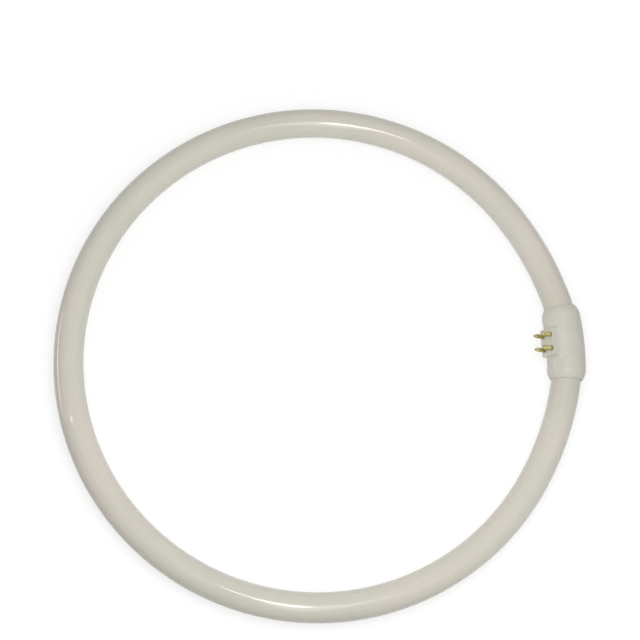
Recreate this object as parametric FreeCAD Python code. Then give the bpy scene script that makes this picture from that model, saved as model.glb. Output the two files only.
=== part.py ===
import FreeCAD, Part
import math
import os

from FreeCAD import Vector

# Ring-shaped fluorescent lamp. A sealed glass tube is bent into a circle and its two ends meet
# in a two-part moulded cap with a raised block that carries four slanted contact pins.
# Millimetres. The ring lies flat with its axis along Z and the cap on the +X side. The origin
# is the middle of the overall outline, at the height of the lowest point of the cap.

# Glass ring
ring_outer_diameter = 300.0
tube_diameter = 17.0
bend_open_angle = 34.0
end_rounding = 2.5
exhaust_tip_diameter = 3.5
exhaust_tip_length = 5.5

# Cap moulding
cap_diameter = 22.0
cap_length = 43.0
cap_offset = 2.5
cap_wall = 1.6
collar_length = 6.0
mouth_lip = 0.5
mouth_chamfer = 0.25
glass_clearance = 0.15
end_gap = 20.0
rib_thickness = 3.0
rib_opening_diameter = 10.0
seam_depth = 0.25

# Pin block on the upper cap half
pin_angle = 30.0
block_height = 13.8
block_span = 16.0
block_width = 10.8
block_corner = 1.0
block_edge = 0.5
block_root = 1.0
block_floor = 2.2

# Contact pins
pin_pitch_along = 7.92
pin_pitch_across = 6.35
pin_diameter = 2.37
pin_length = 6.8
pin_nose = 2.0
pin_root_diameter = 2.76
pin_root_stand = 0.3
pin_tip_diameter = 1.1
pin_bore_diameter = 1.5
pin_bore_taper = 1.0
pin_flange_diameter = 3.04
pin_flange_thickness = 0.6
pin_flange_clearance = 0.08
pin_hole_clearance = 0.03

# Lead wires
wire_diameter = 0.6
wire_bend = 1.5
wire_hole_clearance = 0.02
solder_length = 0.8
solder_end_diameter = 0.5

# Locating pegs between the cap halves
peg_diameter = 1.6
peg_height = 1.6
peg_chamfer = 0.3
peg_clearance = 0.05

UP = Vector(0, 0, 1)

tube_radius = tube_diameter / 2
cap_radius = cap_diameter / 2
ring_radius = ring_outer_diameter / 2 - tube_radius
cap_axis_radius = ring_radius + cap_offset
seat_radius = tube_radius + glass_clearance
chamber_radius = cap_radius - cap_wall
mouth_radius = seat_radius + mouth_lip

# The cap stands out past the glass on one side only, so the ring sits half of that off centre.
ring_centre = Vector(-(cap_offset + cap_radius - tube_radius) / 2, 0, cap_radius)
cap_centre = ring_centre + Vector(cap_axis_radius, 0, 0)

# The last stretch of glass on each side is bent to a wider radius, so that its centre line
# leaves the ring's circle tangentially and reaches the cap's own axis circle at the mouth.
mouth_angle = math.degrees(cap_length / 2 / cap_axis_radius)
opening_turn = math.radians(bend_open_angle - mouth_angle)
radius_gain = (cap_axis_radius ** 2 - ring_radius ** 2) / (
    2 * (ring_radius - cap_axis_radius * math.cos(opening_turn)))
open_radius = ring_radius + radius_gain

pin_direction = Vector(-math.cos(math.radians(pin_angle)), 0, math.sin(math.radians(pin_angle)))
slope_direction = Vector(-math.sin(math.radians(pin_angle)), 0, -math.cos(math.radians(pin_angle)))
pin_seat_height = block_height - block_floor

# The fillet at the block's root leaves some upright wall where the block is lowest.
root_radius = min(block_root, 0.8 * (block_height - cap_radius - block_edge))


def heading(angle):
    """Horizontal unit vector at an azimuth in degrees."""
    return Vector(math.cos(math.radians(angle)), math.sin(math.radians(angle)), 0)


def open_centre(side):
    """Bend centre of the wider arc on one side of the cap."""
    return ring_centre - heading(side * bend_open_angle) * radius_gain


def open_azimuth(side, distance):
    """Azimuth on the wider arc, about its own centre, at a distance from the cap's mid plane."""
    rise = distance - side * open_centre(side).y
    return side * math.degrees(math.asin(rise / open_radius))


def glass_end(side):
    """Point where the bent glass stops and the direction from there into the cap."""
    angle = open_azimuth(side, end_gap / 2 + end_rounding)
    out = heading(angle)
    inward = Vector(side * out.y, -side * out.x, 0)
    return open_centre(side) + out * open_radius, inward


def bent_rod(centre, bend_radius, rod_radius, start, end):
    """Round rod bent about a vertical axis from one azimuth to another."""
    out = heading(start)
    section = Part.Circle(centre + out * bend_radius, Vector(-out.y, out.x, 0), rod_radius)
    face = Part.Face(Part.Wire(section.toShape()))
    return face.revolve(centre, UP, end - start)


def turned(origin, axis, out, legs):
    """Solid turned about an axis. Each leg runs between (along, out) points, two for a straight
    leg and three for an arc through its middle point."""
    edges = []
    for leg in legs:
        points = [origin + axis * along + out * radius for along, radius in leg]
        if len(points) == 2:
            edges.append(Part.LineSegment(*points).toShape())
        else:
            edges.append(Part.Arc(*points).toShape())
    return Part.Face(Part.Wire(edges)).revolve(origin, axis, 360)


def cylinder(base, axis, length, radius):
    """Plain round bar from a base point along an axis."""
    return Part.makeCylinder(radius, length, base, axis)


def glass_run(radius, side):
    """Wider end arc of the glass on one side, as a rod of the given radius."""
    start = side * bend_open_angle
    end = open_azimuth(side, end_gap / 2 + end_rounding)
    return bent_rod(open_centre(side), open_radius, radius, start, end)


def sealed_end(side):
    """Closed end of the tube: rounded shoulder, flat end face and pinched-off exhaust tip."""
    point, inward = glass_end(side)
    tip = exhaust_tip_diameter / 2
    end = end_rounding + exhaust_tip_length
    diagonal = math.sqrt(0.5)
    legs = [
        ((0, 0), (0, tube_radius)),
        ((0, tube_radius),
         (end_rounding * diagonal, tube_radius - end_rounding * (1 - diagonal)),
         (end_rounding, tube_radius - end_rounding)),
        ((end_rounding, tube_radius - end_rounding), (end_rounding, tip)),
        ((end_rounding, tip), (end - tip, tip)),
        ((end - tip, tip), (end - tip + tip * diagonal, tip * diagonal), (end, 0)),
        ((end, 0), (0, 0)),
    ]
    return turned(point, inward, UP, legs)


def glass_tube():
    """The whole sealed tube: main circle, two wider end arcs and two sealed ends."""
    ring = bent_rod(ring_centre, ring_radius, tube_radius, bend_open_angle, 360 - bend_open_angle)
    pieces = [glass_run(tube_radius, 1), glass_run(tube_radius, -1), sealed_end(1), sealed_end(-1)]
    return ring.fuse(pieces).removeSplitter()


def collar(side):
    """Cap end that curves down from the barrel to a thin lip around the glass."""
    angle = side * math.degrees((cap_length / 2 - collar_length) / cap_axis_radius)
    out = heading(angle)
    outward = Vector(-side * out.y, side * out.x, 0)
    run = collar_length - mouth_chamfer
    drop = cap_radius - mouth_radius
    curve = (run ** 2 + drop ** 2) / (2 * drop)
    half_turn = math.asin(run / curve) / 2
    bulge = (curve * math.sin(half_turn), cap_radius - curve * (1 - math.cos(half_turn)))
    legs = [
        ((0, 0), (0, cap_radius)),
        ((0, cap_radius), bulge, (run, mouth_radius)),
        ((run, mouth_radius), (collar_length, mouth_radius - mouth_chamfer)),
        ((collar_length, mouth_radius - mouth_chamfer), (collar_length, 0)),
        ((collar_length, 0), (0, 0)),
    ]
    return turned(ring_centre + out * cap_axis_radius, outward, UP, legs)


def cap_outside():
    """Outer form of the cap: a barrel bent to the ring's curve, with a collar at each end."""
    half = math.degrees((cap_length / 2 - collar_length) / cap_axis_radius)
    barrel = bent_rod(ring_centre, cap_axis_radius, cap_radius, -half, half)
    return barrel.fuse([collar(1), collar(-1)]).removeSplitter()


def seam_groove():
    """V-shaped groove where the two halves meet, on the inner and outer side of the barrel."""
    half = math.degrees((cap_length / 2 - collar_length) / cap_axis_radius)
    out = heading(-half)
    rings = []
    for reach in (cap_radius, -cap_radius):
        edge = ring_centre + out * (cap_axis_radius + reach)
        step = out * math.copysign(seam_depth, reach)
        corners = [edge - step, edge + step + UP * 2 * seam_depth, edge + step - UP * 2 * seam_depth]
        face = Part.Face(Part.makePolygon(corners + corners[:1]))
        rings.append(face.revolve(ring_centre, UP, 2 * half))
    return rings


def cap_cavities():
    """Inside of the cap: two glass seats, the openings in their stop ribs and the wire chamber."""
    chamber_half = math.degrees((end_gap / 2 - rib_thickness) / cap_axis_radius)
    cavities = [bent_rod(ring_centre, cap_axis_radius, chamber_radius, -chamber_half, chamber_half)]
    for side in (1, -1):
        point, inward = glass_end(side)
        cavities.append(glass_run(seat_radius, side))
        cavities.append(cylinder(point, inward, end_rounding, seat_radius))
        reach = end_rounding + 2 * rib_thickness
        cavities.append(cylinder(point, inward, reach, rib_opening_diameter / 2))
    return cavities


def block_point(height, across, along):
    """Point given by height above the cap axis along the pins, and place on the sloping face."""
    return cap_centre + pin_direction * height + slope_direction * across + Vector(0, along, 0)


def rounded_bar(bottom, top, width, span, corner):
    """Bar with rounded upright edges, standing along the pin direction."""
    w = width / 2
    s = span / 2
    corners = [(w, s, 1, 1), (-w, s, -1, 1), (-w, -s, -1, -1), (w, -s, 1, -1)]
    edges = []
    inset = corner * (1 - math.sqrt(0.5))
    starts = []
    for x, y, i, j in corners:
        beside = block_point(bottom, x, y - j * corner)
        above = block_point(bottom, x - i * corner, y)
        middle = block_point(bottom, x - i * inset, y - j * inset)
        first, last = (beside, above) if i == j else (above, beside)
        starts.append(first)
        edges.append(Part.Arc(first, middle, last).toShape())
    for index, edge in enumerate(list(edges)):
        following = starts[(index + 1) % len(starts)]
        edges.append(Part.LineSegment(edge.Vertexes[-1].Point, following).toShape())
    outline = Part.Wire(Part.__sortEdges__(edges))
    return Part.Face(outline).extrude(pin_direction * (top - bottom))


def pin_block():
    """Raised block under the pins, its top edge rounded."""
    bar = rounded_bar(chamber_radius / 2, block_height, block_width, block_span, block_corner)
    top = max(bar.Faces, key=lambda face: face.CenterOfMass.dot(pin_direction))
    return bar.makeFillet(block_edge, top.Edges)


def on_block_root(edge):
    """True for an edge that lies both on the barrel's skin and on the block's upright walls."""
    first, last = edge.ParameterRange
    for point in (edge.valueAt(first), edge.valueAt((first + last) / 2), edge.valueAt(last)):
        offset = point - cap_centre
        x = abs(offset.dot(slope_direction)) - block_width / 2 + block_corner
        y = abs(offset.y) - block_span / 2 + block_corner
        from_wall = math.hypot(max(x, 0), max(y, 0)) + min(max(x, y), 0) - block_corner
        from_centre = math.hypot(point.x - ring_centre.x, point.y)
        from_skin = math.hypot(from_centre - cap_axis_radius, point.z - cap_centre.z) - cap_radius
        if max(abs(from_wall), abs(from_skin)) > 0.01 or offset.dot(pin_direction) < 0:
            return False
    return True


def cap_with_block():
    """Outer form of the cap and the pin block, with a fillet where the block rises from the barrel."""
    body = cap_outside().fuse(pin_block()).removeSplitter()
    return body.makeFillet(root_radius, [edge for edge in body.Edges if on_block_root(edge)])


def pin_places():
    """Across and along offsets of the four pins on the block's face, with the cap side of each."""
    a = pin_pitch_across / 2
    b = pin_pitch_along / 2
    return [(a, b, 1), (-a, b, 1), (a, -b, -1), (-a, -b, -1)]


def pin_pocket():
    """Pocket under the block's face with the flat floor the pin flanges bear on."""
    rim = pin_flange_diameter + 2 * pin_flange_clearance
    width = pin_pitch_across + rim
    span = pin_pitch_along + rim
    return rounded_bar(0, pin_seat_height, width, span, rim / 2)


def peg_places():
    """Points on the parting plane, in the thick of each stop rib beside its opening."""
    places = []
    for side in (1, -1):
        point, inward = glass_end(side)
        middle = point + inward * (end_rounding + rib_thickness / 2)
        radial = heading(math.degrees(math.atan2(middle.y, middle.x - ring_centre.x)))
        axis_point = ring_centre + radial * cap_axis_radius
        offset = (rib_opening_diameter / 2 + cap_radius) / 2
        places.append(axis_point + radial * offset)
        places.append(axis_point - radial * offset)
    return places


def half_space(sign):
    """Large block above or below the parting plane."""
    size = 4 * cap_length
    corner = cap_centre - Vector(size / 2, size / 2, size if sign < 0 else 0)
    return Part.makeBox(size, size, size, corner)


def cap_pin_half():
    """Upper half of the cap, with the pin block, pin holes and sockets for the pegs."""
    half = cap_with_block().common(half_space(1)).removeSplitter()
    cuts = cap_cavities() + seam_groove() + [pin_pocket()]
    for across, along, side in pin_places():
        base = block_point(pin_seat_height - pin_flange_thickness, across, along)
        length = block_floor + 2 * pin_flange_thickness
        cuts.append(cylinder(base, pin_direction, length, pin_root_diameter / 2 + pin_hole_clearance))
    for place in peg_places():
        cuts.append(cylinder(place, UP, peg_height + peg_clearance, peg_diameter / 2 + peg_clearance))
    return half.cut(cuts).removeSplitter()


def peg(place):
    """Locating peg standing on the parting plane, with a chamfered tip."""
    r = peg_diameter / 2
    legs = [
        ((-r, 0), (-r, r)),
        ((-r, r), (peg_height - peg_chamfer, r)),
        ((peg_height - peg_chamfer, r), (peg_height, r - peg_chamfer)),
        ((peg_height, r - peg_chamfer), (peg_height, 0)),
        ((peg_height, 0), (-r, 0)),
    ]
    return turned(place, UP, Vector(1, 0, 0), legs)


def cap_cover_half():
    """Lower half of the cap, a plain shell with the locating pegs."""
    half = cap_outside().common(half_space(-1))
    shell = half.cut(cap_cavities() + seam_groove())
    return shell.fuse([peg(place) for place in peg_places()]).removeSplitter()


def contact_pin(across, along):
    """Hollow pin: flange inside the cap, stouter root in the block, nose pierced for its wire."""
    base = block_point(pin_seat_height, across, along)
    r = pin_diameter / 2
    root = pin_root_diameter / 2
    root_end = block_floor + pin_root_stand
    flange = pin_flange_diameter / 2
    bore = pin_bore_diameter / 2
    hole = wire_diameter / 2 + wire_hole_clearance
    tip = pin_tip_diameter / 2
    end = block_floor + pin_length
    shoulder = end - pin_nose
    drop = r - tip
    curve = (pin_nose ** 2 + drop ** 2) / (2 * drop)
    half_turn = math.asin(pin_nose / curve) / 2
    bulge = (shoulder + curve * math.sin(half_turn), r - curve * (1 - math.cos(half_turn)))
    legs = [
        ((-pin_flange_thickness, bore), (-pin_flange_thickness, flange)),
        ((-pin_flange_thickness, flange), (0, flange)),
        ((0, flange), (0, root)),
        ((0, root), (root_end, root)),
        ((root_end, root), (root_end, r)),
        ((root_end, r), (shoulder, r)),
        ((shoulder, r), bulge, (end, tip)),
        ((end, tip), (end, hole)),
        ((end, hole), (shoulder + pin_bore_taper, hole)),
        ((shoulder + pin_bore_taper, hole), (shoulder, bore)),
        ((shoulder, bore), (-pin_flange_thickness, bore)),
    ]
    return turned(base, pin_direction, slope_direction, legs)


def solder_drop(tip):
    """Drop of solder on a pin's flat tip, drawn out to a small rounded end."""
    foot = pin_tip_diameter / 2
    end = solder_end_diameter / 2
    body = solder_length - end
    diagonal = math.sqrt(0.5)
    legs = [
        ((0, 0), (0, foot)),
        ((0, foot), (body / 2, (foot + end) / 2 + (foot - end) / 5), (body, end)),
        ((body, end), (body + end * diagonal, end * diagonal), (solder_length, 0)),
        ((solder_length, 0), (0, 0)),
    ]
    return turned(tip, pin_direction, slope_direction, legs)


def lead_wire(across, along, side):
    """Wire from the sealed glass end along the chamber and up the pin's axis, with the drop of
    solder that closes the pin's tip around it."""
    point, inward = glass_end(side)
    face = point + inward * end_rounding
    corner = block_point(0, across, along)
    tip = block_point(block_height + pin_length, across, along)
    turn = inward.getAngle(pin_direction)
    cut_back = wire_bend * math.tan(turn / 2)
    radius = wire_diameter / 2
    first_length = (corner - face).dot(inward) - cut_back
    first = corner - inward * cut_back
    last = corner + pin_direction * cut_back
    bend_axis = inward.cross(pin_direction).normalize()
    bend_centre = first + bend_axis.cross(inward) * wire_bend
    section = Part.Face(Part.Wire(Part.Circle(first, inward, radius).toShape()))
    bend = section.revolve(bend_centre, bend_axis, math.degrees(turn))
    run = cylinder(first - inward * first_length, inward, first_length, radius)
    rise = cylinder(last, pin_direction, (tip - last).Length, radius)
    return run.fuse([bend, rise, solder_drop(tip)]).removeSplitter()


os.makedirs("parts", exist_ok=True)
glass_tube().exportStep("parts/glass_tube.step")
cap_pin_half().exportStep("parts/cap_pin_half.step")
cap_cover_half().exportStep("parts/cap_cover_half.step")
for number, (across, along, side) in enumerate(pin_places(), start=1):
    contact_pin(across, along).exportStep(f"parts/contact_pin_{number}.step")
    lead_wire(across, along, side).exportStep(f"parts/lead_wire_{number}.step")
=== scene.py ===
"""Ring-shaped fluorescent lamp for the 3-D parts library, dressed on a studio floor.

Metres, in the part's own frame. The ring lies flat with its axis along Z, the cap is on the +X side and
the four contact pins lean up from it into the ring.
"""

import math
from types import SimpleNamespace

import bpy
import numpy as np
from bpy.props import FloatProperty, FloatVectorProperty, PointerProperty
from mathutils import Matrix, Quaternion, Vector


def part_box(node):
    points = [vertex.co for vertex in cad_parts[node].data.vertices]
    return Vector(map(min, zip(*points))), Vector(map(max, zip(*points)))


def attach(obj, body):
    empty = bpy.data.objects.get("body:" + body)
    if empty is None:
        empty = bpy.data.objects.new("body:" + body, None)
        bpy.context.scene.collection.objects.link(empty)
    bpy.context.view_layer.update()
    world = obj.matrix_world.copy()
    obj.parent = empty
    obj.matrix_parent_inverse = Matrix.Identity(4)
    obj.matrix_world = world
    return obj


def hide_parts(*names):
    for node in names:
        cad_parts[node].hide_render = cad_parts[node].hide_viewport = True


bl_info = {
    "name": "Ring lamp",
    "version": (1, 0, 0),
    "blender": (4, 5, 0),
    "location": "View3D > Sidebar > Ring Lamp",
    "description": "Builds a ring-shaped fluorescent lamp with its cap and pins on a pale studio floor",
    "category": "Object",
}

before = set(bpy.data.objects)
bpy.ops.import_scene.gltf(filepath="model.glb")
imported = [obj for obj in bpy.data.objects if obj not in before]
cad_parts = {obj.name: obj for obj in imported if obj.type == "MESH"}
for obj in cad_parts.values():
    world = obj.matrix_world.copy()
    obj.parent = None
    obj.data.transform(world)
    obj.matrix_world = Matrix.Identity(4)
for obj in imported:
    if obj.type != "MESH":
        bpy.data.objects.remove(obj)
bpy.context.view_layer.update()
glass_low, glass_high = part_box("glass_tube")
cover_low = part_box("cap_cover_half")[0]
axis_height = (glass_low.z + glass_high.z) / 2

UP = np.array((0.0, 0.0, 1.0))
RING_MIDDLE = (0.0, 0.0, 0.0)
WHITE = (1.0, 1.0, 1.0, 1.0)
SENSOR_WIDTH = 36.0

# Rows of points along each surface, and points round it.
GLASS_ROWS = 420
SHOULDER_ROWS = 9
TUBE_SIDES = 72
CAP_ROWS = (3, 26, 14, 40, 26, 40, 14, 26, 3)
CAP_SIDES = 145
ROOT_ROWS = 5
NOSE_ROWS = 12
PIN_SIDES = 48
FLOOR_LINES = 9

# Slow waves of the bent glass: share of the depth, radians per metre along the tube, waves round it, phase.
RIPPLES = ((0.40, 146.0, 0, 1.3), (0.35, 233.0, 2, 0.0), (0.25, 103.0, -1, 0.0))

# The cap's skin is sought by halving between these shares of the barrel's radius.
SKIN_NEAR = 0.8
SKIN_FAR = 1.6
SKIN_HALVINGS = 30

# The cap's rows are closest from this far outside each end of the pin block to this far inside it.
CLOSE_OUTSIDE = 0.0012
CLOSE_INSIDE = 0.0018

# How fast the cap's bore widens from its mouth, and the share of the step at a pin's root that is rounded.
BORE_SLOPE = 0.16
ROOT_EASE = 0.6

# Edges sharper than these stay crisp.
GLASS_CREASE = math.radians(50.0)
CAP_CREASE = math.radians(38.0)
PIN_CREASE = math.radians(35.0)

# Where a tone fades: before the end of the glass, above the pin block's face, below a pin's tip, and from
# inside to outside the ring's circle.
GREY_FADE = (0.050, 0.008)
BLOOM_FADE = (0.0001, 0.0016)
TIN_FADE = (0.0007, 0.0002)
BOUNCE_FADE = (0.010, 0.020)

# The values of a noise between which a second tone or a roughness fades in.
CLOUD_FADE = (0.34, 0.66)
GRAIN_FADE = (0.3, 0.7)

# Brightness of the darker patches on the solder and on the floor.
SOLDER_DULL = 0.55
FLOOR_DULL = 0.985

# Sockets of a colour Mix node, by number because their names repeat.
MIX_FACTOR = 0
MIX_FIRST = 6
MIX_SECOND = 7
MIX_RESULT = 2


def length(name, description, default):
    """A length in metres that a user may change."""
    return FloatProperty(name=name, description=description, default=default, min=0.0, precision=5,
                         subtype="DISTANCE", unit="LENGTH")


def turn(name, description, degrees):
    """An angle that a user may change."""
    return FloatProperty(name=name, description=description, default=math.radians(degrees),
                         subtype="ANGLE", unit="ROTATION")


def share(name, description, default):
    """A share from none to all."""
    return FloatProperty(name=name, description=description, default=default, min=0.0, max=1.0,
                         subtype="FACTOR")


def power(name, description, default):
    """A lamp's power in watts."""
    return FloatProperty(name=name, description=description, default=default, min=0.0, unit="POWER")


def colour(name, description, default):
    """A linear colour."""
    return FloatVectorProperty(name=name, description=description, default=default, size=3, min=0.0,
                               max=1.0, subtype="COLOR")


def place(name, description, default):
    """A point in the part's frame."""
    return FloatVectorProperty(name=name, description=description, default=default, size=3, precision=5,
                               subtype="XYZ", unit="LENGTH")


class GlassSettings(bpy.types.PropertyGroup):
    """Sizes and colours of the bent glass tube."""

    ring_diameter: length("Ring diameter", "Outside diameter of the glass ring", glass_high.y - glass_low.y)
    tube_diameter: length("Tube diameter", "Diameter of the glass tube", glass_high.z - glass_low.z)
    open_angle: turn("Opening angle", "Azimuth from the cap at which the bend widens", 34.0)
    end_gap: length("End gap", "Distance between the two glass end faces inside the cap", 0.020)
    end_rounding: length("End rounding", "Radius of the rounded shoulder at each glass end", 0.0025)
    tip_diameter: length("Exhaust tip diameter", "Diameter of the pinched-off tip", 0.0035)
    tip_length: length("Exhaust tip length", "Length of the pinched-off tip", 0.0055)
    ripple: length("Ripple", "Depth of the slow waves left by bending the hot tube", 0.00006)
    powder: colour("Powder", "Warm white of the powder coat behind the glass", (0.658, 0.598, 0.548))
    powder_tinge: colour("Powder tinge", "Cooler tone of the thinner powder", (0.584, 0.570, 0.504))
    end_grey: colour("End greying", "Tone of the powder beside the electrodes", (0.470, 0.450, 0.380))
    glass_tint: colour("Glass tint", "Faint tint of the clear glass over the powder", (0.955, 0.960, 0.925))


class CapSettings(bpy.types.PropertyGroup):
    """Sizes and colours of the two moulded cap halves."""

    diameter: length("Diameter", "Diameter of the barrel", 2 * (axis_height - cover_low.z))
    cap_length: length("Length", "Length of the cap along the ring", 0.043)
    offset: length("Offset", "How far the cap's axis stands outside the ring's circle", 0.0025)
    collar: length("Collar", "Length of the curved collar at each end", 0.006)
    mouth_diameter: length("Mouth diameter", "Outside diameter of the lip round the glass", 0.0183)
    mouth_bore: length("Mouth bore", "Opening that the glass passes through", 0.0173)
    mouth_chamfer: length("Mouth chamfer", "Chamfer on the lip", 0.00025)
    bore: length("Bore", "Inside diameter of the barrel", 0.0200)
    seam: length("Seam depth", "Depth of the groove where the two halves meet", 0.00025)
    block_height: length("Block height", "Height of the pin block's face above the cap's axis", 0.0138)
    block_span: length("Block span", "Length of the pin block along the cap", 0.0160)
    block_width: length("Block width", "Width of the pin block across the cap", 0.0108)
    block_corner: length("Block corner", "Radius of the block's upright corners", 0.0010)
    block_edge: length("Block edge", "Radius round the block's face", 0.0005)
    block_root: length("Block root", "Reach of the soft fillet under the block's lower side", 0.0010)
    block_shoulder: length("Block shoulder", "Reach of the soft fillet over the block's upper side", 0.0028)
    plastic: colour("Plastic", "Warm white of the moulding", (0.572, 0.553, 0.492))
    plastic_tinge: colour("Plastic tinge", "Slightly yellowed tone in the plastic", (0.552, 0.526, 0.456))
    # Dark colour used twice: as painted shade in the seam groove between the halves, and as the real dust of
    # the sparse specks.
    dust_and_seam_shade: colour("Dust and seam shade", "Dust gathered in the seam and in sparse specks", (0.300, 0.275, 0.210))


class PinSettings(bpy.types.PropertyGroup):
    """Sizes and colours of the four contact pins and their solder."""

    lean: turn("Lean", "Angle of the pins above the ring's plane", 30.0)
    pitch_along: length("Pitch along", "Distance between pins along the cap", 0.00792)
    pitch_across: length("Pitch across", "Distance between pins across the cap", 0.00635)
    diameter: length("Diameter", "Diameter of a pin", 0.00237)
    pin_length: length("Length", "Length of a pin above the block's face", 0.0068)
    nose: length("Nose", "Length of the rounded nose", 0.0020)
    tip_diameter: length("Tip diameter", "Diameter of the flat tip", 0.0011)
    root_diameter: length("Root diameter", "Diameter of the stouter root", 0.00276)
    root_stand: length("Root stand", "How far the root stands out of the block", 0.0003)
    root_depth: length("Root depth", "How deep the root goes into the block", 0.0022)
    flange_diameter: length("Flange diameter", "Diameter of the flange inside the block", 0.00304)
    flange_thickness: length("Flange thickness", "Thickness of that flange", 0.0006)
    bore: length("Bore", "Bore of the hollow pin", 0.0015)
    bore_taper: length("Bore taper", "Length over which the bore closes to the wire", 0.0010)
    wire_hole: length("Wire hole", "Hole in the tip for the lead wire", 0.00064)
    brass: colour("Brass", "Bare brass", (0.700, 0.660, 0.270))
    tarnish: colour("Tarnish", "Brown bloom on the brass", (0.300, 0.256, 0.080))
    solder: colour("Solder", "Dull grey of the solder and the tinned wire", (0.400, 0.395, 0.370))


class StageSettings(bpy.types.PropertyGroup):
    """Floor, light and camera."""

    floor_size: length("Floor size", "Side of the square floor", 8.0)
    floor: colour("Floor", "Share of its light that the seen floor shows, which sets the shadow",
                  (0.300, 0.300, 0.300))
    floor_mirrored: colour("Floor mirrored", "Share of its light that the floor shows in glass and metal",
                           (0.800, 0.795, 0.780))
    floor_inside: colour("Floor inside", "What the floor inside the ring throws back up",
                         (0.800, 0.820, 0.860))
    floor_outside: colour("Floor outside", "What the floor outside the ring throws back up",
                          (0.320, 0.320, 0.310))
    lift_near: share("Lift near", "White added to the seen floor under the soft light", 0.70)
    lift_far: share("Lift far", "White added to the seen floor beyond the soft light", 0.88)
    mirror_near: share("Mirror near", "White added to the mirrored floor under the soft light", 0.20)
    mirror_far: share("Mirror far", "White added to the mirrored floor beyond the soft light", 0.60)
    lift_reach: length("Lift reach", "Distance over which the soft light fades on the floor", 0.60)
    ambient: share("Ambient", "Even light from all round", 0.52)
    key_power: power("Key power", "Soft light over the ring's middle", 1.25)
    key_width: length("Key width", "Width of the soft light", 0.30)
    key_height: length("Key height", "Height of the soft light", 0.30)
    key_place: place("Key place", "Where the soft light hangs", (0.02, -0.06, 0.46))
    fill_power: power("Fill power", "Low soft light at the lower right, for the glass's outer edge", 0.026)
    fill_width: length("Fill width", "Width of the low soft light", 0.14)
    fill_height: length("Fill height", "Height of the low soft light", 0.028)
    fill_place: place("Fill place", "Where the low soft light stands", (0.200, -0.180, 0.022))
    fill_aim: place("Fill aim", "Point on the glass that the low soft light faces", (0.1, -0.1, 0.011))
    glint_power: power("Glint power", "Light beside the camera, seen as a line in the glass", 0.41)
    glint_width: length("Glint width", "Width of the light beside the camera", 0.068)
    glint_height: length("Glint height", "Height of the light beside the camera", 0.26)
    glint_roll: turn("Glint roll", "Turn of the light beside the camera about its beam", 5.0)
    glint_place: place("Glint place", "Where the light beside the camera hangs", (-0.009, -0.088, 0.80))
    halo_power: power("Halo power", "Wide faint light, seen as the fading ends of the glint's line", 0.48)
    halo_width: length("Halo width", "Width of the wide faint light", 0.14)
    halo_height: length("Halo height", "Height of the wide faint light", 0.63)
    halo_roll: turn("Halo roll", "Turn of the wide faint light about its beam", -11.8)
    halo_place: place("Halo place", "Where the wide faint light hangs", (0.002, -0.231, 0.81))
    left_aim: place("Left aim", "Point on the left limb that the slim and the low light face",
                    (-0.14, -0.03, 0.02))
    spark_power: power("Spark power", "Slim light on the left, seen as a dot in the glass", 0.0011)
    spark_width: length("Spark width", "Width of the slim light", 0.003)
    spark_height: length("Spark height", "Height of the slim light", 0.34)
    spark_roll: turn("Spark roll", "Turn of the slim light about its beam", 22.7)
    spark_spread: turn("Spark spread", "Opening of the slim light's beam", 30.0)
    spark_place: place("Spark place", "Where the slim light hangs", (-0.320, 0.0087, 0.40))
    window_power: power("Window power", "Low light on the left, seen as a streak along the glass", 0.140)
    window_width: length("Window width", "Width of the low light", 0.55)
    window_height: length("Window height", "Height of the low light", 0.16)
    window_spread: turn("Window spread", "Opening of the low light's beam", 60.0)
    window_place: place("Window place", "Where the low light stands", (-1.11, 0.20, 0.06))
    camera_place: place("Camera place", "Where the camera stands", (-0.049354, -0.161341, 0.795907))
    camera_aim: place("Camera aim", "Point in the middle of the picture", (0.000209, 0.021032, 0.011))
    camera_roll: turn("Camera roll", "Turn of the camera about its view line", -3.486)
    camera_lens: FloatProperty(name="Camera lens", description="Focal length on a 36 mm sensor",
                               default=78.75, min=1.0, unit="CAMERA")


class LampSettings(bpy.types.PropertyGroup):
    """All settings of the lamp."""

    glass: PointerProperty(type=GlassSettings)
    cap: PointerProperty(type=CapSettings)
    pins: PointerProperty(type=PinSettings)
    stage: PointerProperty(type=StageSettings)


def heading(azimuth, side):
    """Level unit vectors at azimuths from +X, towards +Y where side is 1 and towards -Y where it is -1."""
    return np.stack([np.cos(azimuth), side * np.sin(azimuth), 0.0 * azimuth], axis=-1)


def lamp_plan(lamp):
    """Radii, centres and run lengths that follow from the settings."""
    glass, cap, pins = lamp.glass, lamp.cap, lamp.pins
    plan = SimpleNamespace()
    plan.tube_radius = glass.tube_diameter / 2
    plan.ring_radius = glass.ring_diameter / 2 - plan.tube_radius
    plan.ring_centre = np.array((glass_low.x + glass.ring_diameter / 2, 0.0, axis_height))
    plan.cap_radius = cap.diameter / 2
    plan.cap_axis_radius = plan.ring_radius + cap.offset
    plan.cap_centre = plan.ring_centre + (plan.cap_axis_radius, 0.0, 0.0)
    plan.barrel_half = cap.cap_length / 2 - cap.collar

    # The wider end bends leave the ring's circle smoothly and meet the cap's own circle at its mouth.
    widening = glass.open_angle - cap.cap_length / 2 / plan.cap_axis_radius
    plan.radius_gain = (plan.cap_axis_radius ** 2 - plan.ring_radius ** 2) / (
        2 * (plan.ring_radius - plan.cap_axis_radius * math.cos(widening)))
    plan.open_angle = glass.open_angle
    plan.open_radius = plan.ring_radius + plan.radius_gain
    reach = glass.end_gap / 2 + glass.end_rounding + plan.radius_gain * math.sin(plan.open_angle)
    plan.last_turn = math.asin(reach / plan.open_radius)
    plan.ring_run = plan.ring_radius * (math.pi - plan.open_angle)
    plan.open_run = plan.open_radius * (plan.open_angle - plan.last_turn)

    plan.pin_direction = np.array((-math.cos(pins.lean), 0.0, math.sin(pins.lean)))
    plan.slope_direction = np.array((-math.sin(pins.lean), 0.0, -math.cos(pins.lean)))
    return plan


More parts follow.
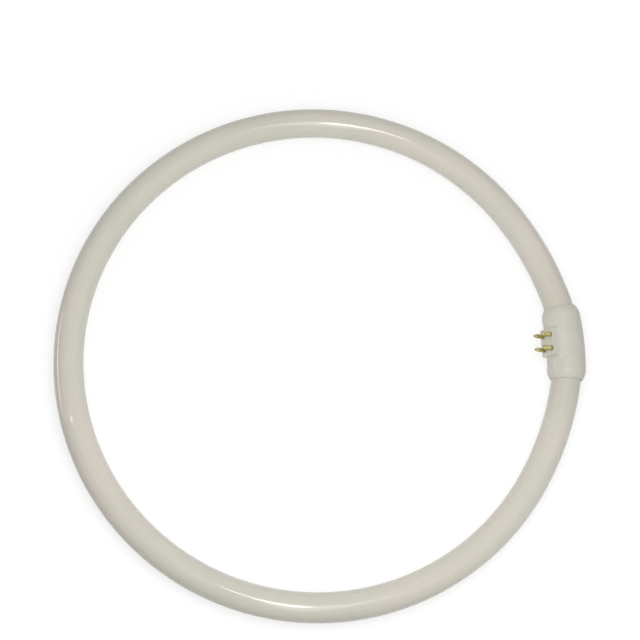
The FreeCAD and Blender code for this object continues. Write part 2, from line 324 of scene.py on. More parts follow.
def grid_quads(rows, columns, wrap_rows=False, wrap_columns=False):
    """Corner numbers of the quads between neighbours on a grid of points. A wrapped side joins its last
    line of points to its first."""
    number = np.arange(rows * columns).reshape(rows, columns)
    if wrap_rows:
        number = np.concatenate([number, number[:1]])
    if wrap_columns:
        number = np.concatenate([number, number[:, :1]], axis=1)
    corners = [number[:-1, :-1], number[1:, :-1], number[1:, 1:], number[:-1, 1:]]
    return np.stack(corners, axis=-1).reshape(-1, 4)


def add_mesh(name, points, faces, material):
    """A mesh object at the origin with one material."""
    mesh = bpy.data.meshes.new(name)
    mesh.from_pydata(points.reshape(-1, 3).tolist(), [], faces)
    mesh.materials.append(material)
    made = bpy.data.objects.new(name, mesh)
    bpy.context.scene.collection.objects.link(made)
    return made


def add_piece(name, points, faces, material, crease):
    """A smooth-shaded mesh that rides on the lamp. Edges sharper than the crease angle stay crisp."""
    piece = add_mesh(name, points, faces, material)
    mesh = piece.data
    mesh.polygons.foreach_set("use_smooth", np.ones(len(mesh.polygons), dtype=bool))
    mesh.set_sharp_from_angle(angle=crease)
    mesh.update()
    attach(piece, "root")
    return piece


def glass_line(run, plan):
    """Centre line of the glass and its outward direction at signed distances from the point opposite the
    cap. It turns about the ring's centre, then on a wider radius about a centre further back, then runs
    straight."""
    side = np.where(run < 0, -1.0, 1.0)
    gone = np.abs(run)
    on_ring = gone <= plan.ring_run
    azimuth = np.where(on_ring, math.pi - gone / plan.ring_radius,
                       plan.open_angle - (gone - plan.ring_run) / plan.open_radius)
    azimuth = np.maximum(azimuth, plan.last_turn)
    straight = np.maximum(gone - plan.ring_run - plan.open_run, 0.0)[:, None]
    out = heading(azimuth, side)
    onward = -heading(azimuth + math.pi / 2, side)
    bend = np.where(on_ring, plan.ring_radius, plan.open_radius)[:, None]
    back = np.where(on_ring, 0.0, plan.radius_gain)[:, None]
    back = back * heading(np.full_like(run, plan.open_angle), side)
    return plan.ring_centre - back + bend * out + straight * onward, out


def glass_profile(glass, plan):
    """Distance gone and radius from the middle of the ring to one tip: the tube, a quarter-round shoulder,
    a flat end face, and the exhaust tip with its dome."""
    quarter = np.linspace(0.0, math.pi / 2, SHOULDER_ROWS)[1:]
    end = plan.ring_run + plan.open_run
    tip = glass.tip_diameter / 2
    face = end + glass.end_rounding
    dome = face + glass.tip_length - tip
    gone = [
        np.linspace(0.0, end, GLASS_ROWS),
        end + glass.end_rounding * np.sin(quarter),
        [face, dome],
        dome + tip * np.sin(quarter),
    ]
    radius = [
        np.full(GLASS_ROWS, plan.tube_radius),
        plan.tube_radius - glass.end_rounding * (1 - np.cos(quarter)),
        [tip, tip],
        tip * np.cos(quarter),
    ]
    return np.concatenate(gone), np.concatenate(radius)


def glass_ring(glass, plan):
    """The tube's profile carried along its centre line: centre + radius (cos a out + sin a up). Slow waves
    along and round the tube draw the radius in, never out. Each tip closes in a single point. Gives the
    points, the same points on the straightened tube, and the faces."""
    gone, radius = glass_profile(glass, plan)
    run = np.concatenate([-gone[:0:-1], gone])
    radius = np.concatenate([radius[:0:-1], radius])[:, None]
    line, out = glass_line(run, plan)
    angle = np.linspace(2 * math.pi, 0.0, TUBE_SIDES, endpoint=False)[None, :]
    wave = sum(depth * np.sin(along * run[:, None] + around * angle + phase)
               for depth, along, around, phase in RIPPLES)
    radius = radius * (1 - glass.ripple * (1 + wave) / 2 / plan.tube_radius)
    across = radius * np.cos(angle)
    height = radius * np.sin(angle)
    points = line[:, None] + across[..., None] * out[:, None] + height[..., None] * UP
    straightened = np.stack([np.broadcast_to(run[:, None], across.shape), across, height], axis=-1)

    rows, columns = across.shape
    faces = grid_quads(rows - 2, columns, wrap_columns=True)
    first = np.arange(columns)
    last = first + (rows - 3) * columns
    start_pole = (rows - 2) * columns
    end_pole = start_pole + 1
    start_fan = np.stack([np.full(columns, start_pole), first, np.roll(first, -1)], axis=-1)
    end_fan = np.stack([np.full(columns, end_pole), np.roll(last, -1), last], axis=-1)

    def inner_and_poles(grid):
        return np.concatenate([grid[1:-1].reshape(-1, 3), grid[0, :1], grid[-1, :1]])

    return (inner_and_poles(points), inner_and_poles(straightened),
            faces.tolist() + start_fan.tolist() + end_fan.tolist())


def cap_rays(run, angle, plan):
    """Axis of the cap, an arc about the ring's centre that runs straight under the collars, and the
    directions square to it at each angle: cos a out + sin a up."""
    arc = np.clip(run, -plan.barrel_half, plan.barrel_half)
    azimuth = arc / plan.cap_axis_radius
    out = heading(azimuth, 1.0)
    onward = heading(azimuth + math.pi / 2, 1.0)
    line = plan.ring_centre + plan.cap_axis_radius * out + (run - arc)[:, None] * onward
    ray = np.cos(angle)[None, :, None] * out[:, None] + np.sin(angle)[None, :, None] * UP
    return line[:, None], ray


def barrel_radius(run, cap, plan):
    """Radius along the cap: constant on the barrel, a circular curve down each collar, a chamfered lip."""
    past = np.maximum(np.abs(run) - plan.barrel_half, 0.0)
    curved = cap.collar - cap.mouth_chamfer
    drop = plan.cap_radius - cap.mouth_diameter / 2
    curve = (curved ** 2 + drop ** 2) / (2 * drop)
    radius = plan.cap_radius - curve + np.sqrt(curve ** 2 - np.minimum(past, curved) ** 2)
    return radius - np.maximum(past - curved, 0.0)


def rounded_corner(first, second, radius):
    """Distance outside a corner of two faces, given the distance outside each. The corner's edge is
    rounded to the radius."""
    first = first + radius
    second = second + radius
    outside = np.hypot(np.maximum(first, 0.0), np.maximum(second, 0.0))
    return outside + np.minimum(np.maximum(first, second), 0.0) - radius


def block_distance(points, cap, plan):
    """Distance outside the pin block: a bar along the pins that starts at the cap's axis, with rounded
    upright corners and a rounded face edge."""
    offset = points - plan.cap_centre
    above = offset @ plan.pin_direction
    across = np.abs(offset @ plan.slope_direction) - cap.block_width / 2
    along = np.abs(offset[..., 1]) - cap.block_span / 2
    walls = rounded_corner(across, along, cap.block_corner)
    return np.maximum(rounded_corner(walls, above - cap.block_height, cap.block_edge), -above)


def cap_skin(run, angle, with_block, cap, plan):
    """Outer skin of the cap. A ray leaves the axis at each angle, and the skin is where it leaves the
    barrel or the block, found by halving. The two distances meet in a smooth minimum, which is the fillet
    at the block's root. Its reach grows from the block's lower side to its upper side."""
    line, ray = cap_rays(run, angle, plan)
    barrel = np.broadcast_to(barrel_radius(run, cap, plan)[:, None], ray.shape[:2])
    radius = barrel
    if with_block:
        near = SKIN_NEAR * barrel
        far = np.full_like(barrel, SKIN_FAR * plan.cap_radius)
        height_share = 0.5 - (ray @ plan.slope_direction) * plan.cap_radius / cap.block_width
        upper = np.clip(height_share, 0.0, 1.0)
        reach = cap.block_root + upper * (cap.block_shoulder - cap.block_root)
        for _ in range(SKIN_HALVINGS):
            middle = (near + far) / 2
            outside_barrel = middle - barrel
            outside_block = block_distance(line + middle[..., None] * ray, cap, plan)
            overlap = np.maximum(reach - np.abs(outside_barrel - outside_block), 0.0)
            inside = np.minimum(outside_barrel, outside_block) - overlap ** 2 / (4 * reach) < 0
            near = np.where(inside, middle, near)
            far = np.where(inside, far, middle)
        radius = (near + far) / 2
    from_seam = np.abs(radius * np.sin(angle)[None, :])
    on_barrel = np.clip((plan.barrel_half - np.abs(run))[:, None] / cap.collar + 0.5, 0.0, 1.0)
    groove = cap.seam * np.clip(1 - from_seam / (2 * cap.seam), 0.0, 1.0) * on_barrel
    return line + (radius - groove)[..., None] * ray


def cap_half(first_angle, with_block, cap, plan):
    """Half of the cap as a closed shell: the outer skin from one parting edge to the other, then the bore
    back again, carried along the cap's axis. The bore narrows from the barrel to the mouth, and a strip
    closes each mouth."""
    half = cap.cap_length / 2
    block_end = cap.block_span / 2
    stops = [-half, -half + cap.mouth_chamfer, -plan.barrel_half,
             -block_end - CLOSE_OUTSIDE, -block_end + CLOSE_INSIDE]
    stops = np.array(stops + [-stop for stop in reversed(stops)])
    steps = [np.linspace(start, end, count, endpoint=False)
             for start, end, count in zip(stops[:-1], stops[1:], CAP_ROWS)]
    run = np.concatenate(steps + [stops[-1:]])
    angle = first_angle + np.linspace(0.0, math.pi, CAP_SIDES)
    skin = cap_skin(run, angle, with_block, cap, plan)
    line, ray = cap_rays(run, angle, plan)
    bore = np.minimum(cap.mouth_bore / 2 + BORE_SLOPE * (half - np.abs(run)), cap.bore / 2)
    inside = line + bore[:, None, None] * ray
    points = np.concatenate([skin, inside[:, ::-1]], axis=1)

    rows, columns = points.shape[:2]
    walls = grid_quads(rows, columns, wrap_columns=True)
    across = np.arange(columns // 2 - 1)
    back = columns - 1 - across
    lip = np.stack([across, across + 1, back - 1, back], axis=-1)
    far_lip = lip[:, ::-1] + (rows - 1) * columns
    return points, walls.tolist() + lip.tolist() + far_lip.tolist()


def pin_profile(pins):
    """Closed outline of a hollow pin as distance along its axis from the block's face and radius: flange,
    root, shank, an arc for the nose, then the wire hole and the bore back to the flange."""
    seat = -pins.root_depth
    back = seat - pins.flange_thickness
    flange = pins.flange_diameter / 2
    root = pins.root_diameter / 2
    shank = pins.diameter / 2
    bore = pins.bore / 2
    hole = pins.wire_hole / 2
    shoulder = pins.pin_length - pins.nose
    drop = shank - pins.tip_diameter / 2
    curve = (pins.nose ** 2 + drop ** 2) / (2 * drop)
    bend = np.linspace(0.0, math.asin(pins.nose / curve), NOSE_ROWS)
    quarter = np.linspace(0.0, math.pi / 2, ROOT_ROWS)
    ease = ROOT_EASE * (root - shank)
    eased_stand = pins.root_stand - ease * (1 - np.sin(quarter))
    eased_root = root - ease * (1 - np.cos(quarter))
    outline = [
        [(back, bore), (back, flange), (seat, flange), (seat, root)],
        np.stack([eased_stand, eased_root], axis=-1),
        [(pins.root_stand, shank)],
        np.stack([shoulder + curve * np.sin(bend), shank - curve * (1 - np.cos(bend))], axis=-1),
        [(pins.pin_length, hole), (shoulder + pins.bore_taper, hole), (shoulder, bore)],
    ]
    return np.concatenate(outline)


def contact_pin(across, along, cap, pins, plan):
    """The pin's outline turned about its axis: foot + distance axis + radius (cos a slope + sin a across)."""
    foot = (plan.cap_centre + cap.block_height * plan.pin_direction + across * plan.slope_direction
            + (0.0, along, 0.0))
    distance, radius = pin_profile(pins).T
    angle = np.linspace(0.0, 2 * math.pi, PIN_SIDES, endpoint=False)[:, None, None]
    side = np.cross(plan.pin_direction, plan.slope_direction)
    round_axis = np.cos(angle) * plan.slope_direction + np.sin(angle) * side
    points = foot + distance[None, :, None] * plan.pin_direction + radius[None, :, None] * round_axis
    return points, grid_quads(*points.shape[:2], wrap_rows=True, wrap_columns=True).tolist()


def connect(tree, node, inputs):
    """Gives a node its inputs. Each is a value or the socket that it is linked from."""
    for key, value in inputs.items():
        if isinstance(value, bpy.types.NodeSocket):
            tree.links.new(value, node.inputs[key])
        else:
            node.inputs[key].default_value = value


def add_node(tree, kind, inputs=None, **settings):
    """A shader node with its settings and its inputs."""
    made = tree.nodes.new(kind)
    for name, value in settings.items():
        setattr(made, name, value)
    connect(tree, made, inputs or {})
    return made


def calculate(tree, operation, *values):
    """The result of a math node."""
    return add_node(tree, "ShaderNodeMath", dict(enumerate(values)), operation=operation).outputs[0]


def mix_colour(tree, mask, first, second):
    """The first colour where the mask is 0 and the second where it is 1."""
    inputs = {MIX_FACTOR: mask, MIX_FIRST: first, MIX_SECOND: second}
    return add_node(tree, "ShaderNodeMix", inputs, data_type="RGBA").outputs[MIX_RESULT]


def ramp(tree, value, start, end, low=0.0, high=1.0):
    """A value that eases from low to high between two points."""
    inputs = {"Value": value, "From Min": start, "From Max": end, "To Min": low, "To Max": high}
    return add_node(tree, "ShaderNodeMapRange", inputs, interpolation_type="SMOOTHSTEP").outputs["Result"]


def bumped(tree, height, strength, depth):
    """Normals bent by a height from 0 to 1 that stands for a depth."""
    inputs = {"Strength": strength, "Distance": depth, "Height": height}
    return add_node(tree, "ShaderNodeBump", inputs).outputs["Normal"]


def own_place(tree):
    """Where a surface point lies in its object's own frame."""
    return add_node(tree, "ShaderNodeTexCoord").outputs["Object"]


def solid(rgb):
    """A colour setting as a socket's four numbers."""
    return (*rgb, 1.0)


def new_group(name, inputs, outputs):
    """An empty shader node group with its named sockets, its input node and its output node."""
    tree = bpy.data.node_groups.new(name, "ShaderNodeTree")
    for label, kind, default in inputs:
        socket = tree.interface.new_socket(label, in_out="INPUT", socket_type=kind)
        if default is not None:
            socket.default_value = default
    for label, kind in outputs:
        tree.interface.new_socket(label, in_out="OUTPUT", socket_type=kind)
    return tree, tree.nodes.new("NodeGroupInput").outputs, tree.nodes.new("NodeGroupOutput").inputs


def clouding_group():
    """Soft patches of a second tone: noise of the given size, spread to a mask that mixes the two colours."""
    tree, given, out = new_group(
        "soft_clouding",
        [("Place", "NodeSocketVector", None), ("Patches per metre", "NodeSocketFloat", 40.0),
         ("Colour", "NodeSocketColor", WHITE), ("Tinge", "NodeSocketColor", (0.9, 0.9, 0.9, 1.0)),
         ("Amount", "NodeSocketFloat", 1.0)],
        [("Colour", "NodeSocketColor")])
    noise = add_node(tree, "ShaderNodeTexNoise", {
        "Vector": given["Place"], "Scale": given["Patches per metre"], "Detail": 4.0, "Roughness": 0.55})
    mask = ramp(tree, noise.outputs["Fac"], *CLOUD_FADE, high=given["Amount"])
    tree.links.new(mix_colour(tree, mask, given["Colour"], given["Tinge"]), out["Colour"])
    return tree


def grain_group():
    """Fine grain: two octaves of noise at a size, as a height from 0 to 1."""
    tree, given, out = new_group(
        "fine_grain",
        [("Place", "NodeSocketVector", None), ("Grains per metre", "NodeSocketFloat", 2000.0)],
        [("Height", "NodeSocketFloat")])
    noise = add_node(tree, "ShaderNodeTexNoise", {
        "Vector": given["Place"], "Scale": given["Grains per metre"], "Detail": 2.0, "Roughness": 0.6})
    tree.links.new(noise.outputs["Fac"], out["Height"])
    return tree


def speck_group():
    """Sparse specks: a round spot in a few cells of a Voronoi pattern, chosen by the cell's own number."""
    tree, given, out = new_group(
        "specks",
        [("Place", "NodeSocketVector", None), ("Cells per metre", "NodeSocketFloat", 300.0),
         ("Share", "NodeSocketFloat", 0.06), ("Radius", "NodeSocketFloat", 0.12),
         ("Strength", "NodeSocketFloat", 1.0)],
        [("Mask", "NodeSocketFloat")])
    cells = add_node(tree, "ShaderNodeTexVoronoi", {
        "Vector": given["Place"], "Scale": given["Cells per metre"]}, feature="F1")
    number = add_node(tree, "ShaderNodeSeparateColor", {"Color": cells.outputs["Color"]}).outputs["Red"]
    chosen = calculate(tree, "LESS_THAN", number, given["Share"])
    spot = ramp(tree, cells.outputs["Distance"], 0.0, given["Radius"], given["Strength"], 0.0)
    tree.links.new(calculate(tree, "MULTIPLY", chosen, spot), out["Mask"])
    return tree


def shared_group(name):
    """A node group that several materials place, built when it is first asked for."""
    builders = {"soft_clouding": clouding_group, "fine_grain": grain_group, "specks": speck_group}
    return bpy.data.node_groups.get(name) or builders[name]()


def place_group(tree, name, inputs):
    """The result of one of the shared groups, placed in a material with its own values."""
    return add_node(tree, "ShaderNodeGroup", inputs, node_tree=shared_group(name)).outputs[0]


def new_material(name):
    """A material with its node tree and its Principled shader."""
    material = bpy.data.materials.new(name)
    material.use_nodes = True
    tree = material.node_tree
    return material, tree, tree.nodes["Principled BSDF"]


def drawn_out(tree, spot, squeeze):
    """A place on the straightened tube, squeezed along it so that a pattern is drawn out."""
    inputs = {"Vector": spot, "Scale": (squeeze, 1.0, 1.0)}
    return add_node(tree, "ShaderNodeMapping", inputs).outputs["Vector"]


def coated_glass_material(glass, plan):
    """Powder coat seen through clear glass: cloudy warm white with faint streaks along the tube, pin-holes
    in the powder and greyed ends under a smooth glossy coat."""
    material, tree, shader = new_material("coated_glass")
    tube = add_node(tree, "ShaderNodeAttribute", attribute_name="straight_tube").outputs["Vector"]
    clouds = place_group(tree, "soft_clouding", {
        "Place": drawn_out(tree, tube, squeeze=0.3), "Patches per metre": 55.0,
        "Colour": solid(glass.powder), "Tinge": solid(glass.powder_tinge), "Amount": 0.9})
    streaks = place_group(tree, "soft_clouding", {
        "Place": drawn_out(tree, tube, squeeze=0.03), "Patches per metre": 480.0,
        "Colour": clouds, "Tinge": solid(glass.powder_tinge), "Amount": 0.5})
    run = add_node(tree, "ShaderNodeSeparateXYZ", {"Vector": tube}).outputs["X"]
    gone = calculate(tree, "ABSOLUTE", run)
    end = plan.ring_run + plan.open_run
    grey_start, grey_full = (end - before for before in GREY_FADE)
    greyed = ramp(tree, gone, grey_start, grey_full, high=0.35)
    aged = mix_colour(tree, greyed, streaks, solid(glass.end_grey))
    holes = place_group(tree, "specks", {
        "Place": tube, "Cells per metre": 320.0, "Share": 0.08, "Radius": 0.10, "Strength": 0.4})
    powder = mix_colour(tree, holes, aged, solid(glass.end_grey))
    grain = place_group(tree, "fine_grain", {"Place": tube, "Grains per metre": 2600.0})
    connect(tree, shader, {
        "Base Color": powder, "Roughness": ramp(tree, grain, *GRAIN_FADE, low=0.42, high=0.56),
        "Normal": bumped(tree, grain, strength=0.12, depth=0.00008), "Specular IOR Level": 0.15,
        "Coat Weight": 1.0, "Coat Roughness": 0.06, "Coat IOR": 1.52,
        "Coat Tint": solid(glass.glass_tint)})
    return material


def cap_plastic_material(cap):
    """Moulded plastic: warm white with a slight yellow clouding, a fine spark-finished grain, painted shade
    in the seam groove, and dust in sparse specks."""
    material, tree, shader = new_material("cap_plastic")
    spot = own_place(tree)
    clouds = place_group(tree, "soft_clouding", {
        "Place": spot, "Patches per metre": 130.0, "Colour": solid(cap.plastic),
        "Tinge": solid(cap.plastic_tinge), "Amount": 0.8})
    height = add_node(tree, "ShaderNodeSeparateXYZ", {"Vector": spot}).outputs["Z"]
    from_seam = calculate(tree, "ABSOLUTE", calculate(tree, "SUBTRACT", height, axis_height))
    # Painted shade: the groove where the two halves meet is darkened towards the dark dust colour.
    seam_shade_mask = ramp(tree, from_seam, 0.2 * cap.seam, 2 * cap.seam, low=0.75, high=0.0)
    seam_shaded = mix_colour(tree, seam_shade_mask, clouds, solid(cap.dust_and_seam_shade))
    dust = place_group(tree, "specks", {
        "Place": spot, "Cells per metre": 700.0, "Share": 0.12, "Radius": 0.14, "Strength": 0.35})
    dusty = mix_colour(tree, dust, seam_shaded, solid(cap.dust_and_seam_shade))
    grain = place_group(tree, "fine_grain", {"Place": spot, "Grains per metre": 4500.0})
    connect(tree, shader, {
        "Base Color": dusty, "Roughness": ramp(tree, grain, *GRAIN_FADE, low=0.28, high=0.40),
        "Normal": bumped(tree, grain, strength=0.45, depth=0.00009), "IOR": 1.49})
    return material


def pin_brass_material(cap, pins, plan):
    """Turned brass: fine rings round each pin, brown bloom in patches and at the root, a tinned grey nose."""
    material, tree, shader = new_material("pin_brass")
    spot = own_place(tree)
    foot = plan.cap_centre + cap.block_height * plan.pin_direction
    offset = add_node(tree, "ShaderNodeVectorMath", {0: spot, 1: tuple(foot)}, operation="SUBTRACT")
    above = add_node(tree, "ShaderNodeVectorMath", {0: offset.outputs[0], 1: tuple(plan.pin_direction)},
                     operation="DOT_PRODUCT").outputs["Value"]
    bloom = place_group(tree, "soft_clouding", {
        "Place": spot, "Patches per metre": 620.0, "Colour": solid(pins.brass),
        "Tinge": solid(pins.tarnish), "Amount": 0.85})
    at_root = ramp(tree, above, *BLOOM_FADE, low=0.8, high=0.0)
    rooted = mix_colour(tree, at_root, bloom, solid(pins.tarnish))
    tin_start, tin_full = (pins.pin_length - below for below in TIN_FADE)
    at_nose = ramp(tree, above, tin_start, tin_full, high=0.9)
    tinned = mix_colour(tree, at_nose, rooted, solid(pins.solder))
    grain = place_group(tree, "fine_grain", {"Place": spot, "Grains per metre": 5200.0})
    rings = add_node(tree, "ShaderNodeTexNoise", {"W": above, "Scale": 14000.0, "Detail": 2.0},
                     noise_dimensions="1D").outputs["Fac"]
    connect(tree, shader, {
        "Base Color": tinned, "Roughness": ramp(tree, grain, *GRAIN_FADE, low=0.24, high=0.44),
        "Normal": bumped(tree, rings, strength=0.30, depth=0.00003), "Metallic": 1.0})
    return material


def lead_metal_material(pins):
    """Tinned wire and its drop of solder: dull grey, clouded darker, with a slightly lumpy skin."""
    material, tree, shader = new_material("lead_metal")
    spot = own_place(tree)
    dull = [SOLDER_DULL * channel for channel in pins.solder]
    clouds = place_group(tree, "soft_clouding", {
        "Place": spot, "Patches per metre": 1500.0, "Colour": solid(pins.solder), "Tinge": solid(dull),
        "Amount": 0.7})
    grain = place_group(tree, "fine_grain", {"Place": spot, "Grains per metre": 4200.0})
    connect(tree, shader, {
        "Base Color": clouds, "Roughness": ramp(tree, grain, *GRAIN_FADE, low=0.32, high=0.55),
        "Normal": bumped(tree, grain, strength=0.5, depth=0.00006), "Metallic": 1.0})
    return material


def seen_directly(tree):
    """1 for rays from the camera, from a mirror-like surface or through clear material, 0 for scattered
    light."""
    path = add_node(tree, "ShaderNodeLightPath").outputs
    either = calculate(tree, "MAXIMUM", path["Is Camera Ray"], path["Is Glossy Ray"])
    return calculate(tree, "MAXIMUM", either, path["Is Transmission Ray"])


def matt(tree, tone):
    """A matt surface."""
    return add_node(tree, "ShaderNodeBsdfDiffuse", {"Color": tone}).outputs[0]


def lifted(tree, surface, strength):
    """A surface with some white added to what it shows."""
    white = add_node(tree, "ShaderNodeEmission", {"Strength": strength}).outputs[0]
    return add_node(tree, "ShaderNodeAddShader", {0: surface, 1: white}).outputs[0]


def studio_floor_material(stage, plan):
    """Pale matt floor. Where it is seen it is lifted to white, more where the soft light fades, and keeps
    the shadow. What it throws back up on the lamp is brighter inside the ring than outside, which keeps
    the outer edge of the glass clear of the background."""
    material, tree, shader = new_material("studio_floor")
    spot = own_place(tree)
    dull = [FLOOR_DULL * channel for channel in stage.floor]
    clouds = place_group(tree, "soft_clouding", {
        "Place": spot, "Patches per metre": 3.0, "Colour": solid(stage.floor), "Tinge": solid(dull),
        "Amount": 1.0})
    from_centre = add_node(tree, "ShaderNodeVectorMath", {0: spot, 1: tuple(plan.ring_centre)},
                           operation="DISTANCE").outputs["Value"]
    lift = ramp(tree, from_centre, 0.0, stage.lift_reach, stage.lift_near, stage.lift_far)
    shown = lifted(tree, matt(tree, clouds), lift)
    mirror_lift = ramp(tree, from_centre, 0.0, stage.lift_reach, stage.mirror_near, stage.mirror_far)
    mirrored = lifted(tree, matt(tree, solid(stage.floor_mirrored)), mirror_lift)
    bounce_inside, bounce_outside = BOUNCE_FADE
    outside = ramp(tree, from_centre, plan.ring_radius - bounce_inside, plan.ring_radius + bounce_outside)
    bounce = matt(tree, mix_colour(tree, outside, solid(stage.floor_inside), solid(stage.floor_outside)))
    glossy = add_node(tree, "ShaderNodeLightPath").outputs["Is Glossy Ray"]
    shown_at_all = add_node(tree, "ShaderNodeMixShader", {0: glossy, 1: shown, 2: mirrored}).outputs[0]
    mix = add_node(tree, "ShaderNodeMixShader", {0: seen_directly(tree), 1: bounce, 2: shown_at_all})
    tree.nodes.remove(shader)
    connect(tree, tree.nodes["Material Output"], {"Surface": mix.outputs[0]})
    return material


def add_light(stage, name, aim, spread=math.pi, roll=0.0):
    """An oval area light with the power, size and place of its settings. It faces a point and is turned
    about its beam."""
    data = bpy.data.lights.new(name, "AREA")
    data.shape = "ELLIPSE"
    data.energy = getattr(stage, f"{name}_power")
    data.size = getattr(stage, f"{name}_width")
    data.size_y = getattr(stage, f"{name}_height")
    data.spread = spread
    light = bpy.data.objects.new(name, data)
    bpy.context.scene.collection.objects.link(light)
    light.location = getattr(stage, f"{name}_place")
    facing = (Vector(aim) - light.location).to_track_quat("-Z", "Y")
    light.rotation_euler = (facing @ Quaternion((0.0, 0.0, 1.0), roll)).to_euler()
    return light


def camera_matrix(spot, aim, roll):
    """Looks from a point at another with +Y at the top of the picture, then turned about the view line."""
    back = (Vector(spot) - Vector(aim)).normalized()
    right = Vector((0.0, 1.0, 0.0)).cross(back).normalized()
    turned = Matrix((right, back.cross(right), back)).transposed().to_4x4()
    return Matrix.Translation(spot) @ turned @ Matrix.Rotation(roll, 4, "Z")


class RINGLAMP_OT_glass(bpy.types.Operator):
    """Build the bent glass tube with its powder coat"""

    bl_idname = "ring_lamp.glass"
    bl_label = "Glass tube"

    def execute(self, context):
        lamp = context.scene.ring_lamp
        plan = lamp_plan(lamp)
        points, straightened, faces = glass_ring(lamp.glass, plan)
        coated = coated_glass_material(lamp.glass, plan)
        piece = add_piece("glass_ring", points, faces, coated, GLASS_CREASE)
        tube = piece.data.attributes.new("straight_tube", "FLOAT_VECTOR", "POINT")
        tube.data.foreach_set("vector", straightened.ravel())
        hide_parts("glass_tube")
        return {"FINISHED"}


class RINGLAMP_OT_cap(bpy.types.Operator):
    """Build the two moulded halves of the cap"""

    bl_idname = "ring_lamp.cap"
    bl_label = "Cap halves"

    def execute(self, context):
        lamp = context.scene.ring_lamp
        plan = lamp_plan(lamp)
        plastic = cap_plastic_material(lamp.cap)
        halves = (("cap_upper", 0.0, True, "cap_pin_half"), ("cap_lower", math.pi, False, "cap_cover_half"))
        for name, first_angle, with_block, node in halves:
            points, faces = cap_half(first_angle, with_block, lamp.cap, plan)
            piece = add_piece(name, points, faces, plastic, CAP_CREASE)
            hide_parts(node)
        return {"FINISHED"}


class RINGLAMP_OT_pins(bpy.types.Operator):
    """Build the four hollow contact pins"""

    bl_idname = "ring_lamp.pins"
    bl_label = "Contact pins"

    def execute(self, context):
        lamp = context.scene.ring_lamp
        plan = lamp_plan(lamp)
        brass = pin_brass_material(lamp.cap, lamp.pins, plan)
        half_across = lamp.pins.pitch_across / 2
        half_along = lamp.pins.pitch_along / 2
        sides = ((1, 1), (-1, 1), (1, -1), (-1, -1))
        for number, (across, along) in enumerate(sides, start=1):
            points, faces = contact_pin(across * half_across, along * half_along, lamp.cap, lamp.pins, plan)
            piece = add_piece(f"pin_{number}", points, faces, brass, PIN_CREASE)
            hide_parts(f"contact_pin_{number}")
        return {"FINISHED"}


class RINGLAMP_OT_leads(bpy.types.Operator):
    """Dress the lead wires and the solder drops on the pin tips"""

    bl_idname = "ring_lamp.leads"
    bl_label = "Lead wires"

    def execute(self, context):
        metal = lead_metal_material(context.scene.ring_lamp.pins)
        wires = [node for name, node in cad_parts.items() if name.startswith("lead_wire")]
        if not wires:
            raise RuntimeError("the frame has no lead wires")
        for wire in wires:
            for slot in wire.material_slots:
                slot.material = metal
        return {"FINISHED"}


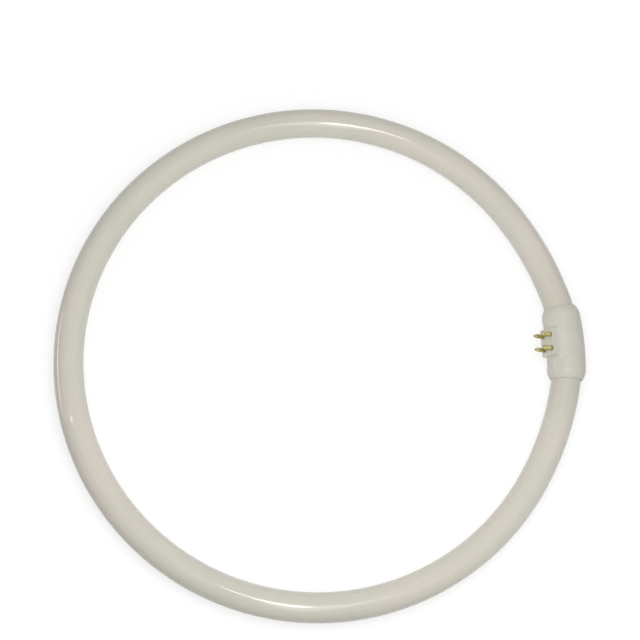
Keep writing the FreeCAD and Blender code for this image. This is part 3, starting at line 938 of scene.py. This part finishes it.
class RINGLAMP_OT_stage(bpy.types.Operator):
    """Set the floor, the studio light and the camera"""

    bl_idname = "ring_lamp.stage"
    bl_label = "Stage"

    def execute(self, context):
        scene = context.scene
        stage = scene.ring_lamp.stage
        scene.view_settings.view_transform = "Standard"
        self.lay_floor(stage, lamp_plan(scene.ring_lamp))
        self.hang_lights(stage)
        self.light_all_round(scene, stage)
        camera = bpy.data.objects.new("camera", bpy.data.cameras.new("camera"))
        scene.collection.objects.link(camera)
        camera.data.lens = stage.camera_lens
        camera.data.sensor_width = SENSOR_WIDTH
        camera.matrix_world = camera_matrix(stage.camera_place, stage.camera_aim, stage.camera_roll)
        scene.camera = camera
        return {"FINISHED"}

    def lay_floor(self, stage, plan):
        """A plane under the cap's lowest point and the far side of the glass, on which the lamp rests."""
        side = np.linspace(-stage.floor_size / 2, stage.floor_size / 2, FLOOR_LINES)
        x, y = np.meshgrid(side, side, indexing="ij")
        far = plan.ring_centre[0] - plan.ring_radius
        rise = (glass_low.z - cover_low.z) / (plan.cap_centre[0] - far)
        points = np.stack([x, y, cover_low.z + rise * (plan.cap_centre[0] - x)], axis=-1)
        faces = grid_quads(FLOOR_LINES, FLOOR_LINES).tolist()
        floor = add_mesh("floor", points, faces, studio_floor_material(stage, plan))

    def hang_lights(self, stage):
        """Two soft lights for shading, and four that only show as glints."""
        key = add_light(stage, "key", RING_MIDDLE)
        fill = add_light(stage, "fill", stage.fill_aim)
        fill.visible_camera = False
        for soft in (key, fill):
            soft.visible_glossy = False
        glints = (
            add_light(stage, "glint", RING_MIDDLE, roll=stage.glint_roll),
            add_light(stage, "halo", RING_MIDDLE, roll=stage.halo_roll),
            add_light(stage, "spark", stage.left_aim, stage.spark_spread, stage.spark_roll),
            add_light(stage, "window", stage.left_aim, stage.window_spread),
        )
        for glint in glints:
            glint.visible_diffuse = False

    def light_all_round(self, scene, stage):
        """Even light from all round, which shows as plain white where it is seen."""
        world = bpy.data.worlds.new("studio")
        world.use_nodes = True
        tree = world.node_tree
        even = tree.nodes["Background"]
        connect(tree, even, {"Color": WHITE, "Strength": stage.ambient})
        white = add_node(tree, "ShaderNodeBackground", {"Color": WHITE, "Strength": 1.0}).outputs[0]
        mix = add_node(tree, "ShaderNodeMixShader", {0: seen_directly(tree), 1: even.outputs[0], 2: white})
        connect(tree, tree.nodes["World Output"], {"Surface": mix.outputs[0]})
        scene.world = world


class RINGLAMP_PT_panel(bpy.types.Panel):
    """The lamp's settings and build steps in the 3D view's sidebar"""

    bl_idname = "RINGLAMP_PT_panel"
    bl_label = "Ring Lamp"
    bl_space_type = "VIEW_3D"
    bl_region_type = "UI"
    bl_category = "Ring Lamp"

    def draw(self, context):
        lamp = context.scene.ring_lamp
        steps = (("ring_lamp.glass", lamp.glass), ("ring_lamp.cap", lamp.cap), ("ring_lamp.pins", lamp.pins),
                 ("ring_lamp.leads", None), ("ring_lamp.stage", lamp.stage))
        for operator, settings in steps:
            box = self.layout.box()
            box.operator(operator)
            if settings is not None:
                for name in settings.__annotations__:
                    box.prop(settings, name)


classes = (
    GlassSettings, CapSettings, PinSettings, StageSettings, LampSettings,
    RINGLAMP_OT_glass, RINGLAMP_OT_cap, RINGLAMP_OT_pins, RINGLAMP_OT_leads, RINGLAMP_OT_stage,
    RINGLAMP_PT_panel,
)


def register():
    """Registers the classes and hangs the settings on the scene."""
    for cls in classes:
        bpy.utils.register_class(cls)
    bpy.types.Scene.ring_lamp = PointerProperty(type=LampSettings)


def unregister():
    """Takes the settings off the scene and unregisters the classes."""
    del bpy.types.Scene.ring_lamp
    for cls in reversed(classes):
        bpy.utils.unregister_class(cls)


def main():
    """Builds the lamp and its stage."""
    register()
    bpy.ops.ring_lamp.glass()
    bpy.ops.ring_lamp.cap()
    bpy.ops.ring_lamp.pins()
    bpy.ops.ring_lamp.leads()
    bpy.ops.ring_lamp.stage()


if __name__ == "__main__":
    main()
